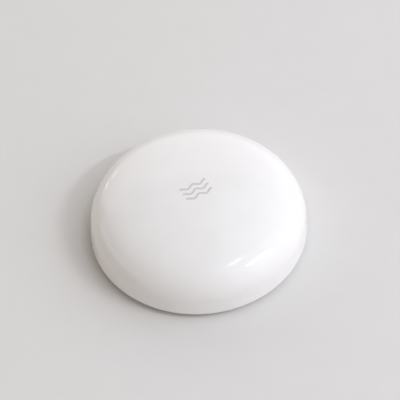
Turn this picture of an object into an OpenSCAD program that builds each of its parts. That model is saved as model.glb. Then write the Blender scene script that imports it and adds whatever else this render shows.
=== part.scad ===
// Water leak sensor: a low dome over a round base that stands on two metal probes and two feet.
// A coin opens the battery cover underneath, and a press on the crown works a switch inside.
// Millimetres, +Z up. The origin is the middle of the footprint, on the surface that it stands on.

/* [Dome] */
// Outside diameter of the dome
body_d = 50; // [48:0.5:58]
// Height of the crown above the surface
body_h = 15; // [14:0.25:18]
// Height of the rim above the surface
rim_lift = 1; // [0.8:0.1:1.4]
// Radius of the roll along the rim
rim_r = 0.9; // [0.6:0.1:1.2]
// Rise of the crown above the shoulder
crown_rise = 2.75; // [2.4:0.05:3.2]
// Draft of the side, in degrees
side_draft = 4.2; // [3:0.2:5]
// Radius of the shoulder
shoulder_r = 7.2; // [6.6:0.1:7.8]
// Radius of the blend from the shoulder to the crown
blend_r = 20; // [17:0.5:23]
// Angle at which the blend leaves the shoulder, in degrees
blend_angle = 60; // [57:1:63]
// Wall of the dome
shell_wall = 1.8; // [1.4:0.1:2.2]
// Wall at the rim, where the base seats
rim_wall = 1.9; // [1.7:0.1:2.3]
// Diameter of the thin middle that flexes under a finger
press_d = 14; // [10:0.5:18]
// Wall of the thin middle
press_wall = 1; // [0.8:0.1:1.3]
// Diameter of the stem under the crown that works the switch
press_stem_d = 3.2; // [2.4:0.2:4.4]
// Number of stop ribs inside the side
stop_ribs = 8; // [4:1:12]
// Width of a stop rib
stop_rib_w = 1.2; // [0.8:0.1:1.8]
// Reach of a stop rib in from the seat
stop_rib_reach = 1.4; // [1:0.1:1.6]

/* [Base] */
// Height of the feet and probe heads, under the base
foot_h = 0.8; // [0.6:0.1:1.2]
// Diameter of a foot
foot_d = 4; // [3:0.2:4.6]
// Thickness of the base plate
base_wall = 1.6; // [1.2:0.1:2]
// Height of the skirt that plugs into the dome
skirt_h = 4.3; // [4:0.1:4.8]
// Wall of the skirt
skirt_wall = 1.6; // [1.4:0.1:2]
// Chamfer round the base's lower edge
base_chamfer = 0.4; // [0.2:0.1:0.6]
// Radius of the snap bead round the skirt
bead_r = 0.4; // [0.3:0.05:0.5]
// Section of the seal between base and dome
housing_seal_d = 1; // [0.8:0.1:1.1]

/* [Battery cover] */
// Thickness of the cover's flange
flange_t = 1.1; // [1:0.1:1.5]
// Width of the flange beyond the seal
flange_lip = 1.6; // [1.2:0.1:1.8]
// Thickness of the cover's middle
cover_t = 1.8; // [1.6:0.1:2.2]
// Wall of the ring that carries the bayonet pins
ring_wall = 1.4; // [1.2:0.1:1.6]
// Section of the cover's seal
cover_seal_d = 1.4; // [1.2:0.1:1.6]
// Number of bayonet pins
pins = 3; // [2:1:4]
// Diameter of a bayonet pin
pin_d = 1.1; // [0.9:0.1:1.3]
// Reach of a pin beyond the ring
pin_reach = 0.9; // [0.7:0.1:1]
// Turn that frees the cover, in degrees
cover_turn = 60; // [50:5:70]
// Length of the coin slot
coin_slot_l = 17; // [14:0.5:19]
// Width of the coin slot
coin_slot_w = 2.2; // [1.8:0.1:2.6]
// Depth of the coin slot
coin_slot_depth = 1; // [0.8:0.1:1.1]
// Length of an index mark round the cover
mark_l = 1.2; // [0.8:0.1:1.4]
// Depth of an index mark
mark_depth = 0.25; // [0.15:0.05:0.4]

/* [Coin cell] */
// Diameter of the cell
cell_d = 20; // [19:0.5:20.5]
// Thickness of the cell
cell_h = 3.2; // [2.5:0.1:3.6]
// Sheet of the cell's can
can_t = 0.3; // [0.2:0.05:0.4]
// Thickness of the ring that insulates can from cap
cell_gasket_t = 0.8; // [0.5:0.1:1]
// Wall of the holder round the cell
holder_wall = 1.7; // [1.4:0.1:2]
// Thickness of a holder clip
clip_t = 0.6; // [0.5:0.05:0.7]
// Width of a holder clip, as an angle
clip_angle = 28; // [20:1:36]
// Grip of the holder on the cell's edge
holder_grip = 1.1; // [0.8:0.1:1.3]
// Space between the cell and the board
contact_space = 1.2; // [1:0.1:1.6]
// Sheet of the contacts
contact_t = 0.2; // [0.15:0.05:0.3]
// Width of the contacts
contact_w = 3; // [2.4:0.2:3.6]

/* [Probes] */
// Diameter of a probe's head
probe_head_d = 4.4; // [3.8:0.2:4.8]
// Diameter of a probe's shank
probe_d = 2; // [1.8:0.1:2.2]
// Roll round the edge of a probe's head
probe_edge_r = 0.3; // [0.2:0.05:0.4]
// Height of a probe's boss above the base plate
boss_h = 2.2; // [1.8:0.1:2.6]
// Wall of a boss round the nut's corners
boss_wall = 0.6; // [0.5:0.1:0.8]
// Width of a probe nut across its flats
nut_flats = 4; // [3.6:0.1:4.4]
// Height of a probe nut
nut_h = 1.4; // [1.2:0.1:1.6]
// Section of a probe's seal
probe_seal_d = 0.6; // [0.5:0.05:0.7]
// Wire of a probe spring
spring_wire_d = 0.3; // [0.25:0.05:0.35]
// Turns of a probe spring
spring_turns = 2.5; // [2:0.5:3]

/* [Board] */
// Thickness of the board
board_t = 1; // [0.8:0.1:1.6]
// Gap between the board's edge and the dome
board_edge_gap = 0.8; // [0.6:0.1:1.2]
// Diameter of a board screw
screw_d = 1.9; // [1.6:0.1:2.2]
// Diameter of a board screw's head
screw_head_d = 3.8; // [3.4:0.1:4.2]
// Height of a board screw's head
screw_head_h = 1.3; // [1:0.1:1.4]
// Depth of a board screw in its boss
screw_depth = 2.2; // [1.6:0.1:2.6]
// Diameter of a screw boss under the crown
screw_boss_d = 4.8; // [4.2:0.2:5.6]
// Width of the radio chip
chip_w = 6; // [4:0.5:7]
// Height of the radio chip
chip_h = 0.85; // [0.6:0.05:1]
// Space round the radio chip
chip_gap = 1.4; // [1:0.1:1.8]
// Length of the crystal
crystal_l = 3.2; // [2.5:0.1:3.6]
// Width of the crystal
crystal_w = 2.5; // [2:0.1:2.8]
// Height of the crystal
crystal_h = 0.8; // [0.6:0.05:1]
// Length of a small part
part_l = 1; // [0.6:0.1:1.2]
// Width of a small part
part_w = 0.5; // [0.3:0.05:0.6]
// Distance between small parts
part_pitch = 1.2; // [0.9:0.1:1.3]
// Length of the indicator lamp
led_l = 1.6; // [1:0.1:2]
// Height of the indicator lamp
led_h = 0.7; // [0.5:0.05:1]
// Turns of the antenna's meander
antenna_folds = 6; // [4:1:7]
// Width of the antenna's track
antenna_w = 0.6; // [0.4:0.05:0.8]
// Distance between the antenna's folds
antenna_pitch = 1.6; // [1.2:0.1:1.8]
// Length of an antenna fold
antenna_l = 3.5; // [2.5:0.1:4]
// Thickness of the antenna's copper
antenna_t = 0.07; // [0.05:0.01:0.1]
// Gap between the antenna and the board's edge
antenna_edge = 2.5; // [2:0.1:3]

/* [Switch] */
// Width of the switch
switch_w = 5.2; // [4.6:0.2:6]
// Height of the switch's body
switch_h = 1.2; // [1.1:0.1:1.5]
// Sheet of the switch's metal frame
frame_t = 0.2; // [0.15:0.05:0.3]
// Diameter of the plunger
plunger_d = 2.4; // [2:0.1:2.8]
// Height of the plunger above the frame
plunger_h = 1; // [0.8:0.1:1.2]
// Travel of the plunger
plunger_travel = 0.25; // [0.15:0.05:0.3]

/* [Fits] */
// Gap between pieces that plug into each other
fit_gap = 0.1; // [0.05:0.01:0.15]
// Gap round the pieces that turn
turn_gap = 0.2; // [0.15:0.01:0.25]
// Gap at a piece that only touches
touch_gap = 0.03; // [0.02:0.01:0.05]

/* [Hidden] */
$fn = 96;
big_fn = 360;
over = 0.5;
hair = 0.005;

// Dome
body_r = body_d / 2;
roll_x = body_r - rim_r - hair;
widest_z = rim_lift + rim_r;
draft_way = [cos(side_draft), sin(side_draft)];
roll_centre = [roll_x, widest_z];
roll_over_shoulder = rim_r - shoulder_r;
shoulder_z = body_h - crown_rise - shoulder_r;
side_h = (shoulder_z - widest_z - roll_over_shoulder * draft_way.y) / draft_way.x;
shoulder_centre = [roll_x + roll_over_shoulder * draft_way.x - side_h * draft_way.y, shoulder_z];
blend_way = [cos(blend_angle), sin(blend_angle)];
blend_centre = shoulder_centre - (blend_r - shoulder_r) * blend_way;
crown_top = body_h - blend_centre.y;
crown_r = (blend_centre.x ^ 2 + crown_top ^ 2 - blend_r ^ 2) / (2 * (crown_top - blend_r));
crown_centre_z = body_h - crown_r;
crown_angle = atan2(blend_centre.y - crown_centre_z, blend_centre.x);
crown_way = [cos(crown_angle), sin(crown_angle)];
seat_r = body_r - rim_wall;

// Base and cover, from the underside up
under_z = foot_h;
plate_z = under_z + base_wall;
skirt_z = under_z + skirt_h;
skirt_r = seat_r - fit_gap;
skirt_in_r = skirt_r - skirt_wall;
bead_z = skirt_z - 2 * bead_r;
housing_seal_z = bead_z - bead_r - 2 * fit_gap - housing_seal_d / 2;
flange_z = under_z + flange_t;
floor_z = under_z + cover_t;
seal_z = flange_z + fit_gap;
clip_lip_z = floor_z + turn_gap;
cell_z = clip_lip_z + clip_t;
cell_r = cell_d / 2;
clip_r = cell_r + turn_gap + clip_t;
ring_in_r = clip_r + turn_gap;
ring_r = ring_in_r + ring_wall;
bore_r = ring_r + cover_seal_d;
flange_r = bore_r + flange_lip;
counterbore_r = flange_r + turn_gap;
collar_wall = 1.2;
collar_r = counterbore_r + collar_wall;
lock_r = bore_r + collar_wall;
lock_in_r = ring_r + turn_gap;
lock_z = seal_z + cover_seal_d;
slot_gap = 0.15;
slot_h = pin_d + 2 * slot_gap;
slot_r = ring_r + pin_reach + slot_gap;
lock_web = 0.25;
pin_z = lock_z + lock_web + slot_h / 2;
cover_drop = pin_z + pin_d / 2 - lock_z + fit_gap;
lock_top_z = pin_z + slot_h / 2 + 2 * lock_web;
collar_top_z = lock_z + lock_web;
ring_z = pin_z + pin_d / 2 + 2 * lock_web;
lead_per_degree = cover_drop / cover_turn;
pin_angle = 30;
cover_mark_angle = 75;

// Cell and board
cell_top_z = cell_z + cell_h;
cap_r = cell_r - can_t - cell_gasket_t;
crimp_drop = 0.2;
board_z = cell_top_z + contact_space;
board_top_z = board_z + board_t;
shoulder_in_r = shoulder_r - shell_wall;
board_r = shoulder_centre.x + sqrt(shoulder_in_r ^ 2 - (board_top_z - shoulder_z) ^ 2) - board_edge_gap;
holder_in_r = cell_r + turn_gap + fit_gap;
holder_r = holder_in_r + holder_wall;
holder_z = max(cell_top_z - holder_grip, ring_z + turn_gap);
peg_d = 1.4;
peg_ring_r = (holder_in_r + holder_r) / 2;
peg_angle = 135;
screw_gap = 0.8;
screw_ring_r = holder_r + screw_head_d / 2 + screw_gap;
screw_angle = 30;
screw_count = 3;
terminal_l = switch_w / 5;
chip_x = -(switch_w + chip_w) / 2 - terminal_l - chip_gap;
chip_y = -chip_w / 2 - chip_gap;

// Probes
probe_ring_r = (collar_r + skirt_in_r) / 2;
boss_z = plate_z + boss_h;
nut_sink = 0.8;
nut_z = boss_z - nut_sink;
nut_top_z = nut_z + nut_h;
boss_r = nut_flats / 2 / cos(30) + boss_wall;
probe_tip_h = 0.6;
spring_r = probe_d / 2 + fit_gap + spring_wire_d / 2;

// Switch
frame_z = board_top_z + switch_h;
plunger_top_z = frame_z + frame_t + plunger_h;
switch_floor = 0.3;
plunger_foot_h = 0.4;
plunger_foot_r = plunger_d / 2 + 0.6;
switch_well_r = plunger_foot_r + turn_gap;
plunger_foot_z = frame_z - touch_gap - plunger_foot_h;

// A ring of rectangular section, from one radius and height to another.
module ring(inner, outer, low, high) {
    rotate_extrude() translate([inner, low]) square([outer - inner, high - low]);
}

// A seal of round section.
module seal_ring(middle_r, middle_z, section) {
    rotate_extrude() translate([middle_r, middle_z]) circle(d = section);
}

// Copies round the axis.
module round_copies(count, start) {
    for (i = [0 : count - 1]) rotate([0, 0, start + i * 360 / count]) children();
}

// Bound of the dome's half section: its drafted side, moved in, above a height.
module side_bound(inset, low) {
    high = body_h + shoulder_r;
    side = shoulder_centre + (shoulder_r - inset) * draft_way;
    slope = tan(side_draft);
    polygon([[0, low], [side.x + (side.y - low) * slope, low], [side.x + (side.y - high) * slope, high], [0, high]]);
}

// Half section of the dome above a height, with its crown, blend, shoulder and side moved in.
// The shoulder stands a hair proud, and the blend half of that, so that each cuts the next one cleanly.
module dome_section(inset, low) {
    reach = 2 * shoulder_r;
    far = 2 * blend_r;
    start_angle = blend_angle - blend_angle / 6;
    intersection() {
        translate([0, crown_centre_z]) circle(crown_r - inset, $fn = big_fn);
        side_bound(inset, low);
        union() {
            polygon([
                [0, low - over], [body_r + over, low - over], shoulder_centre + reach * draft_way,
                shoulder_centre, shoulder_centre + reach * blend_way, [0, body_h + reach]
            ]);
            translate(shoulder_centre + hair * (draft_way + blend_way)) circle(shoulder_r - inset, $fn = big_fn);
        }
        union() {
            polygon([
                [0, -far], [body_r + far, -far], blend_centre + far * [cos(start_angle), sin(start_angle)],
                blend_centre, blend_centre + far * crown_way, [0, far]
            ]);
            translate(blend_centre + hair / 2 * crown_way) circle(blend_r - inset, $fn = big_fn);
        }
    }
}

// Half section of the dome without its hollow, with the roll along the rim.
module outer_section() {
    reach = 3 * rim_r;
    intersection() {
        dome_section(0, rim_lift);
        union() {
            polygon([
                [0, rim_lift - over], [roll_x, rim_lift - over], roll_centre, roll_centre + reach * draft_way,
                [roll_x + reach, body_h + over], [0, body_h + over]
            ]);
            translate(roll_centre + hair * (draft_way - [0, 1])) circle(rim_r);
        }
    }
}

// Half section of the hollow under the dome, with the base's seat and the thin middle.
module hollow_section() {
    dome_section(shell_wall, skirt_z);
    square([seat_r, skirt_z + fit_gap]);
    translate([skirt_r, bead_z]) circle(bead_r + fit_gap);
    intersection() {
        dome_section(press_wall, skirt_z);
        square([press_d / 2, body_h]);
    }
}

// What may be added inside the side: it ends inside the wall.
module inside_wall() {
    intersection() {
        rotate_extrude() dome_section(shell_wall / 2, skirt_z + fit_gap);
        children();
    }
}

// What may be added under the crown: it ends inside the wall.
module under_crown() {
    intersection() {
        rotate_extrude() intersection() {
            translate([0, crown_centre_z]) circle(crown_r - shell_wall / 2, $fn = big_fn);
            translate([0, skirt_z]) square([body_r, body_h]);
        }
        children();
    }
}

// Dome in one piece: shell, stop ribs, screw bosses and the stem over the switch.
module top_shell() {
    stem_z = plunger_top_z + touch_gap;
    color("white") difference() {
        union() {
            rotate_extrude() difference() {
                outer_section();
                hollow_section();
            }
            inside_wall() round_copies(stop_ribs, 180 / stop_ribs)
                translate([seat_r - stop_rib_reach, -stop_rib_w / 2, skirt_z + fit_gap])
                    cube([body_r, stop_rib_w, body_h]);
            under_crown() round_copies(screw_count, screw_angle)
                translate([screw_ring_r, 0, board_top_z]) cylinder(d = screw_boss_d, h = body_h);
            translate([0, 0, stem_z]) cylinder(d = press_stem_d, h = body_h - press_wall / 2 - stem_z);
        }
        round_copies(screw_count, screw_angle)
            translate([screw_ring_r, 0, board_top_z - over])
                cylinder(d = screw_d + 2 * touch_gap, h = screw_depth + 2 * over);
    }
}

// Half section of the base, before the probes, feet and bayonet slots.
module base_section() {
    groove_r = skirt_r - housing_seal_d + fit_gap;
    difference() {
        union() {
            polygon([
                [0, under_z], [skirt_r - base_chamfer, under_z], [skirt_r, under_z + base_chamfer],
                [skirt_r, plate_z], [0, plate_z]
            ]);
            translate([skirt_in_r, plate_z - over]) square([skirt_wall, skirt_z - plate_z + over]);
            translate([0, plate_z - over]) square([collar_r, collar_top_z - plate_z + over]);
            translate([0, plate_z - over]) square([lock_r, lock_top_z - plate_z + over]);
            translate([skirt_r - fit_gap, bead_z]) circle(bead_r);
        }
        square([counterbore_r, seal_z]);
        square([bore_r, lock_z]);
        square([lock_in_r, body_h]);
        translate([groove_r, housing_seal_z - housing_seal_d / 2 - fit_gap])
            square([body_r, housing_seal_d + 2 * fit_gap]);
    }
}

// One bayonet slot: a channel that winds down from the locked pin and out under the lock ring.
module bayonet_slot() {
    steps = 20;
    in_r = lock_in_r - over;
    end_angle = asin((pin_d / 2 + slot_gap) / slot_r);
    low_angle = (pin_z + slot_h / 2 - lock_z + slot_gap) / lead_per_degree;
    angles = [for (i = [0 : steps]) end_angle - (end_angle + low_angle) * i / steps];
    corners = [[in_r, -1], [in_r, 1], [slot_r, 1], [slot_r, -1]];
    points = [
        for (a = angles, c = corners)
            [c[0] * cos(a), c[0] * sin(a), pin_z + min(a, 0) * lead_per_degree + c[1] * slot_h / 2]
    ];
    sides = [
        for (i = [0 : steps - 1], k = [0 : 3], half = [0, 1])
            let (a = 4 * i + k, b = 4 * i + (k + 1) % 4)
            half == 0 ? [a, b, b + 4] : [a, b + 4, a + 4]
    ];
    last = 4 * steps;
    ends = [[0, 3, 2], [0, 2, 1], [last, last + 1, last + 2], [last, last + 2, last + 3]];
    polyhedron(points, concat(sides, ends), convexity = 4);
}

// A wedge mark on the underside, with its tip at a radius and its back a mark's length from there.
module index_mark(angle, tip_r, way) {
    rotate([0, 0, angle]) translate([tip_r, 0, under_z - over]) linear_extrude(mark_depth + over)
        polygon([[0, 0], [way * mark_l, -way * mark_l / 2], [way * mark_l, way * mark_l / 2]]);
}

// Base: plate, skirt, battery collar with its bayonet, probe bosses and two feet.
module base() {
    foot_edge = 0.3;
    color("white") difference() {
        union() {
            rotate_extrude() base_section();
            intersection() {
                round_copies(2, 0) translate([probe_ring_r, 0, plate_z - over])
                    cylinder(r = boss_r, h = boss_z - plate_z + over);
                cylinder(r = skirt_r - skirt_wall / 2, h = body_h);
            }
            round_copies(2, 90) translate([probe_ring_r, 0, 0]) {
                cylinder(d1 = foot_d - 2 * foot_edge, d2 = foot_d, h = foot_edge);
                translate([0, 0, foot_edge]) cylinder(d = foot_d, h = under_z - foot_edge + over);
            }
        }
        round_copies(2, 0) translate([probe_ring_r, 0, 0]) {
            cylinder(d = probe_d + 2 * touch_gap, h = body_h);
            cylinder(d = probe_d + 2 * probe_seal_d + 2 * fit_gap, h = under_z + probe_seal_d);
            translate([0, 0, nut_z]) cylinder(d = (nut_flats + 2 * fit_gap) / cos(30), h = body_h, $fn = 6);
        }
        round_copies(pins, pin_angle) bayonet_slot();
        index_mark(cover_mark_angle, counterbore_r + 2 * fit_gap, 1);
        index_mark(cover_mark_angle - cover_turn, counterbore_r + 2 * fit_gap, 1);
    }
}

// Battery cover: flange, pin ring, three rests for the cell and the coin slot.
module battery_cover() {
    edge = 0.3;
    rest_d = 2;
    rest_ring_r = cell_r / 2;
    color("whitesmoke") difference() {
        union() {
            rotate_extrude() union() {
                polygon([
                    [0, under_z], [flange_r - edge, under_z], [flange_r, under_z + edge],
                    [flange_r, flange_z], [0, flange_z]
                ]);
                translate([0, under_z + edge]) square([ring_in_r + ring_wall / 2, cover_t - edge]);
                translate([ring_in_r, under_z + edge]) square([ring_wall, ring_z - under_z - edge]);
            }
            round_copies(pins, pin_angle) translate([ring_in_r + ring_wall / 2, 0, pin_z])
                rotate([0, 90, 0]) cylinder(d = pin_d, h = ring_wall / 2 + pin_reach);
            round_copies(3, 0) translate([rest_ring_r, 0, floor_z - over])
                cylinder(d = rest_d, h = cell_z - touch_gap - floor_z + over);
        }
        translate([-(coin_slot_l - coin_slot_w) / 2, -coin_slot_w / 2, 0])
            cube([coin_slot_l - coin_slot_w, coin_slot_w, under_z + coin_slot_depth]);
        round_copies(2, 0) translate([(coin_slot_l - coin_slot_w) / 2, 0, 0])
            cylinder(d = coin_slot_w, h = under_z + coin_slot_depth);
        index_mark(cover_mark_angle, flange_r - edge - 2 * fit_gap, -1);
    }
}

// Seal in the corner between the cover's flange and its ring.
module cover_seal() {
    color("dimgray")
        seal_ring((ring_r + bore_r) / 2, flange_z + cover_seal_d / 2, cover_seal_d - 2 * touch_gap);
}

// Seal in the groove round the base's skirt.
module housing_seal() {
    color("dimgray")
        seal_ring(seat_r - housing_seal_d / 2, housing_seal_z, housing_seal_d - 2 * touch_gap);
}

// Probe: a turned stud whose head stands on the wet surface.
module probe() {
    head_r = probe_head_d / 2;
    color("silver") rotate_extrude() union() {
        square([head_r - probe_edge_r, under_z]);
        translate([0, probe_edge_r]) square([head_r, under_z - probe_edge_r]);
        intersection() {
            translate([head_r - probe_edge_r, probe_edge_r]) circle(probe_edge_r);
            translate([head_r - probe_edge_r, 0]) square(probe_edge_r);
        }
        translate([0, under_z - over / 2]) square([probe_d / 2, nut_top_z - under_z + over / 2]);
        translate([0, nut_top_z - over / 2]) square([probe_d / 2 - fit_gap, probe_tip_h + over / 2]);
    }
}

module left_probe() {
    translate([-probe_ring_r, 0, 0]) probe();
}

module right_probe() {
    translate([probe_ring_r, 0, 0]) probe();
}

// Small seals under the probes' heads.
module probe_seals() {
    color("black") round_copies(2, 0) translate([probe_ring_r, 0, 0])
        seal_ring(probe_d / 2 + probe_seal_d / 2 + fit_gap / 2, under_z + probe_seal_d / 2,
                  probe_seal_d - 2 * touch_gap);
}

// Hex nuts that hold the probes from inside.
module probe_nuts() {
    color("goldenrod") round_copies(2, 0) translate([probe_ring_r, 0, nut_z]) difference() {
        cylinder(d = nut_flats / cos(30), h = nut_h, $fn = 6);
        translate([0, 0, -over]) cylinder(d = probe_d + 2 * touch_gap, h = nut_h + 2 * over);
    }
}

// Coil spring from a probe's nut up to the board.
module probe_spring() {
    rings_per_turn = 10;
    wire_sides = 6;
    wire_r = spring_wire_d / 2;
    low = nut_top_z + wire_r + touch_gap;
    high = board_z - wire_r - touch_gap;
    rings = round(rings_per_turn * spring_turns);
    points = [
        for (i = [0 : rings], k = [0 : wire_sides - 1])
            let (a = 360 * spring_turns * i / rings, w = 360 * k / wire_sides, r = spring_r + wire_r * cos(w))
            [r * cos(a), r * sin(a), low + (high - low) * i / rings + wire_r * sin(w)]
    ];
    sides = [
        for (i = [0 : rings - 1], k = [0 : wire_sides - 1], half = [0, 1])
            let (a = wire_sides * i + k, b = wire_sides * i + (k + 1) % wire_sides)
            half == 0 ? [a, b, b + wire_sides] : [a, b + wire_sides, a + wire_sides]
    ];
    first_end = [for (k = [1 : wire_sides - 2]) [0, k + 1, k]];
    last = wire_sides * rings;
    last_end = [for (k = [1 : wire_sides - 2]) [last, last + k, last + k + 1]];
    color("silver") polyhedron(points, concat(sides, first_end, last_end), convexity = 8);
    echo("gap between the spring's turns", (high - low) / spring_turns - spring_wire_d);
}

module left_probe_spring() {
    translate([-probe_ring_r, 0, 0]) probe_spring();
}

module right_probe_spring() {
    translate([probe_ring_r, 0, 0]) probe_spring();
}

// Positive can of the coin cell, face down, with its edge crimped over the gasket.
module cell_can() {
    color("lightgray") difference() {
        translate([0, 0, cell_z]) cylinder(r = cell_r, h = cell_h - crimp_drop);
        translate([0, 0, cell_z + can_t]) cylinder(r = cell_r - can_t, h = cell_h - crimp_drop - 2 * can_t);
        translate([0, 0, cell_z + can_t]) cylinder(r = cap_r + cell_gasket_t / 2, h = cell_h);
    }
}

// Ring that keeps the can and the cap apart.
module cell_gasket() {
    color("black") difference() {
        translate([0, 0, cell_z + can_t + touch_gap])
            cylinder(r = cell_r - can_t - touch_gap, h = cell_h - crimp_drop - 2 * can_t - 2 * touch_gap);
        translate([0, 0, cell_z]) cylinder(r = cap_r + touch_gap, h = cell_h);
    }
}

// Negative cap of the coin cell.
module cell_cap() {
    color("lightgray") translate([0, 0, cell_z + can_t + touch_gap])
        cylinder(r = cap_r, h = cell_h - can_t - touch_gap);
}

// Half section of a holder clip: an arm with a lip under the cell's edge.
module clip_section() {
    lip = 0.7;
    arm_r = clip_r - clip_t;
    lip_top_z = cell_z - touch_gap;
    arm_top_z = (holder_z + board_z) / 2;
    polygon([
        [cell_r - lip, clip_lip_z], [clip_r, clip_lip_z], [clip_r, arm_top_z],
        [arm_r, arm_top_z], [arm_r, lip_top_z], [cell_r - lip, lip_top_z]
    ]);
}

// Holder under the board: a ring with a window for the contact, two clips and two pegs.
module cell_holder() {
    window_w = contact_w + 4 * fit_gap;
    color("black") difference() {
        union() {
            ring(holder_in_r, holder_r, holder_z, board_z);
            for (a = [90, 270]) rotate([0, 0, a - clip_angle / 2])
                rotate_extrude(angle = clip_angle) clip_section();
            round_copies(2, peg_angle) translate([peg_ring_r, 0, board_z - over])
                cylinder(d = peg_d, h = board_t + 2 * over);
        }
        translate([0, -window_w / 2, holder_z - over]) cube([body_r, window_w, board_z - holder_z + 2 * over]);
    }
}

// Contact that presses on the side of the can.
module positive_contact() {
    leg_x = cell_r + touch_gap;
    foot_l = holder_r - cell_r + contact_w / 3;
    color("gold") translate([leg_x, -contact_w / 2, 0]) {
        translate([0, 0, board_z - contact_t]) cube([foot_l, contact_w, contact_t]);
        translate([0, 0, cell_top_z - holder_grip])
            cube([contact_t, contact_w, board_z - cell_top_z + holder_grip]);
    }
}

// Leaf under the board that presses on the cap.
module negative_contact() {
    touch_x = -cell_d / 10;
    toe_x = touch_x - contact_w / 2;
    arm_x = cell_d / 5;
    tab_x = arm_x + contact_w;
    tab_z = board_z - contact_t;
    touch_z = cell_top_z + touch_gap;
    toe_z = touch_z + contact_t;
    color("gold") translate([0, contact_w / 2, 0]) rotate([90, 0, 0]) linear_extrude(contact_w) polygon([
        [tab_x, board_z], [arm_x, board_z], [touch_x, touch_z + contact_t], [toe_x, toe_z + contact_t],
        [toe_x, toe_z], [touch_x, touch_z], [arm_x, tab_z], [tab_x, tab_z]
    ]);
}

// Round board, drilled for its screws and the holder's pegs.
module main_board() {
    color("darkgreen") difference() {
        translate([0, 0, board_z]) cylinder(r = board_r, h = board_t);
        round_copies(screw_count, screw_angle) translate([screw_ring_r, 0, board_z - over])
            cylinder(d = screw_d + 2 * fit_gap, h = board_t + 2 * over);
        round_copies(2, peg_angle) translate([peg_ring_r, 0, board_z - over])
            cylinder(d = peg_d + 2 * fit_gap, h = board_t + 2 * over);
    }
}

// Screws that hold the board up against the dome's bosses.
module board_screws() {
    cross_l = 0.58 * screw_head_d;
    cross_w = 0.13 * screw_head_d;
    cross_depth = 0.55 * screw_head_h;
    color("gray") round_copies(screw_count, screw_angle)
        translate([screw_ring_r, 0, board_z - screw_head_h]) difference() {
            union() {
                cylinder(d = screw_head_d, h = screw_head_h);
                cylinder(d = screw_d, h = screw_head_h + board_t + screw_depth);
            }
            for (a = [0, 90]) rotate([0, 0, a]) translate([-cross_l / 2, -cross_w / 2, -over])
                cube([cross_l, cross_w, cross_depth + over]);
        }
}

// A package on the board, by its middle and size.
module package(x, y, l, w, h) {
    translate([x - l / 2, y - w / 2, board_top_z]) cube([l, w, h]);
}

module radio_chip() {
    color("black") package(chip_x, chip_y, chip_w, chip_w, chip_h);
}

// Metal can of the crystal beside the chip.
module crystal() {
    color("silver") package(chip_x, chip_gap + crystal_w / 2, crystal_l, crystal_w, crystal_h);
}

// Small capacitors and resistors in two rows beside the chip.
module chip_parts() {
    per_row = 6;
    row_y = chip_y - chip_w / 2 - part_l;
    row_pitch = 1.6 * part_l;
    color("tan") for (row = [0, 1], i = [0 : per_row - 1])
        package(chip_x + (i - (per_row - 1) / 2) * part_pitch, row_y - row * row_pitch, part_w, part_l, part_w);
}

// Lamp that glows through the thin middle of the dome.
module indicator_led() {
    color("white") package(switch_w / 2 + terminal_l + led_l / 2, 0, led_l, led_l / 2, led_h);
}

// Copper meander along the far edge of the board.
module antenna_trace() {
    start_y = board_r - antenna_edge - antenna_l;
    color("peru") translate([-antenna_folds * antenna_pitch / 2, start_y, board_top_z])
        linear_extrude(antenna_t) union() {
            for (i = [0 : antenna_folds]) translate([i * antenna_pitch, 0]) square([antenna_w, antenna_l]);
            for (i = [0 : antenna_folds - 1])
                translate([i * antenna_pitch, i % 2 == 0 ? antenna_l - antenna_w : 0])
                    square([antenna_pitch + antenna_w, antenna_w]);
        }
}

// Black body of the press switch, with a well for the plunger's foot.
module switch_body() {
    color("black") difference() {
        package(0, 0, switch_w, switch_w, switch_h);
        translate([0, 0, board_top_z + switch_floor]) cylinder(r = switch_well_r, h = switch_h);
    }
}

// Metal plate over the switch.
module switch_frame() {
    color("silver") difference() {
        translate([-switch_w / 2, -switch_w / 2, frame_z]) cube([switch_w, switch_w, frame_t]);
        translate([0, 0, frame_z - over]) cylinder(d = plunger_d + 2 * fit_gap, h = frame_t + 2 * over);
    }
}

// Four solder feet at the switch's corners.
module switch_terminals() {
    terminal_w = switch_w / 8;
    color("silver") for (x = [-1, 1], y = [-1, 1])
        package(x * (switch_w + terminal_l) / 2, y * (switch_w / 2 - terminal_w), terminal_l, terminal_w, frame_t);
}

// Snap dome under the plunger: a shallow cap of thin spring steel.
module switch_dome() {
    dome_t = 0.08;
    foot_r = switch_well_r - fit_gap;
    low = board_top_z + switch_floor;
    rise = plunger_foot_z - touch_gap - low;
    dome_r = (foot_r ^ 2 + rise ^ 2) / (2 * rise);
    color("silver") rotate_extrude() intersection() {
        difference() {
            translate([0, low + rise - dome_r]) circle(dome_r, $fn = big_fn);
            translate([0, low + rise - dome_r]) circle(dome_r - dome_t, $fn = big_fn);
        }
        translate([0, low]) square([foot_r, rise + over]);
    }
}

// Plunger that the dome's stem pushes.
module switch_plunger() {
    color("ivory") union() {
        translate([0, 0, plunger_foot_z]) cylinder(r = plunger_foot_r, h = plunger_foot_h);
        translate([0, 0, plunger_foot_z]) cylinder(d = plunger_d, h = plunger_top_z - plunger_foot_z);
    }
}

top_shell();
base();
battery_cover();
cover_seal();
housing_seal();
left_probe();
right_probe();
probe_seals();
probe_nuts();
left_probe_spring();
right_probe_spring();
cell_can();
cell_gasket();
cell_cap();
cell_holder();
positive_contact();
negative_contact();
main_board();
board_screws();
radio_chip();
crystal();
chip_parts();
indicator_led();
antenna_trace();
switch_body();
switch_frame();
switch_terminals();
switch_dome();
switch_plunger();
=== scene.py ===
# Water leak sensor: a low white dome over a round base that stands on two metal probes and two feet.
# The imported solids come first, and each section dresses one of them or puts a finer piece in its place.
import math

import bpy
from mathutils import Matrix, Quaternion, Vector


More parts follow.
